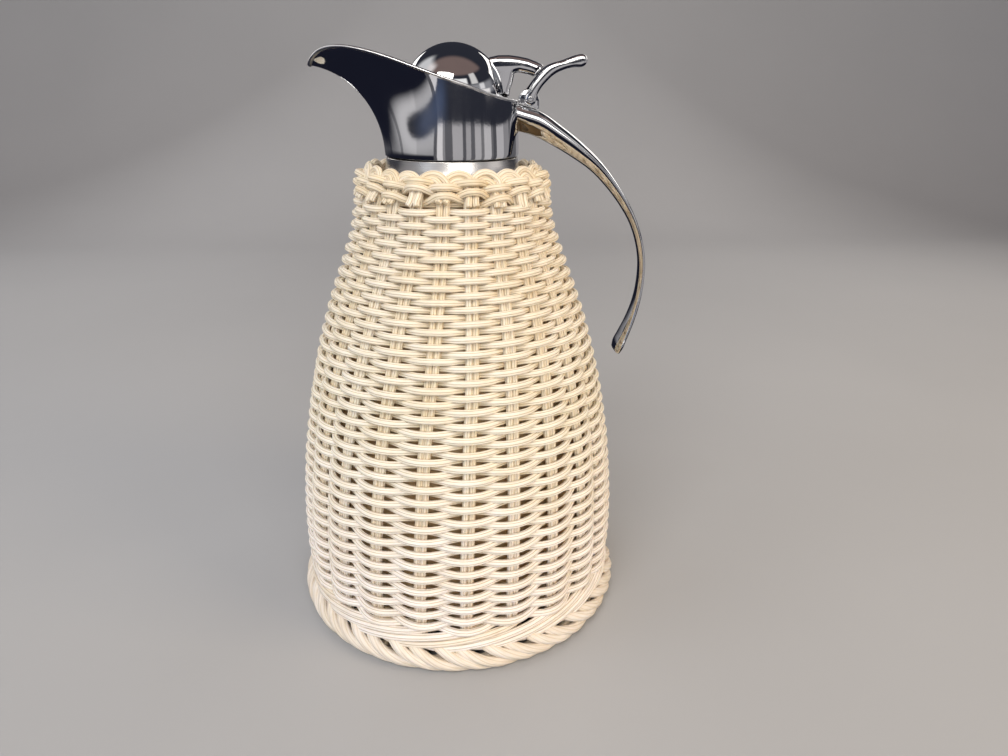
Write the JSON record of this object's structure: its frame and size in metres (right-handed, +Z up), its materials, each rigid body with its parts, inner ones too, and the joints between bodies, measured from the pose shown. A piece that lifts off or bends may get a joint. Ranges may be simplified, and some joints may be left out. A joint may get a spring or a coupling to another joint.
{
  "type": "wicker carafe",
  "caption": "Insulated carafe in a pale woven wicker sleeve, with a chrome pouring head, a horn-shaped handle and a domed lid opened by a thumb lever.",
  "frame": {"origin": "middle of the base, on the surface it stands on", "axes": "+Z up along the flask's axis, -X towards the spout, +X towards the handle"},
  "size_m": [0.1811, 0.1732, 0.2749],
  "materials": {
    "chrome": "polished chrome plating, mirror bright",
    "flask_steel": "stainless steel, satin, brushed round the neck",
    "fixings": "plain stainless steel",
    "reed": "pale cream rattan reed with fine lengthwise grooves, satin",
    "dark_plastic": "black moulded plastic, fine matte grain",
    "silicone": "off-white food-grade silicone, matte"
  },
  "bodies": {
    "carafe": {"base_pad": "silicone", "base_cap": "dark_plastic", "shell_bottom": "flask_steel", "outer_shell": "flask_steel", "shell_neck": "flask_steel", "inner_bottle": "flask_steel", "bottle_bottom": "flask_steel", "liner_shoulder": "flask_steel", "liner_neck": "flask_steel", "wicker_wall": "reed", "wicker_wale": "reed", "wicker_foot_border": "reed", "wicker_top_border": "reed", "pouring_head": "chrome", "neck_gasket": "silicone", "neck_ring": "dark_plastic", "handle": "chrome", "handle_screw_upper": "fixings", "handle_screw_lower": "fixings", "hinge_block": "chrome", "hinge_pin": "fixings"},
    "lid": {"lid_dome": "chrome", "lid_plug": "dark_plastic", "lid_seal": "silicone", "lid_screw": "fixings", "lid_bridge": "chrome", "thumb_lever": "chrome", "return_spring": "fixings"}
  },
  "joints": [
    {"name": "lid_hinge", "type": "hinge", "parent": "carafe", "child": "lid", "pos_m": [0.0351, 0, 0.252], "axis": [0, 1, 0], "range_deg": [0, 55], "stiffness_Nm_per_rad": 0.02, "springref_deg": -34.38}
  ]
}
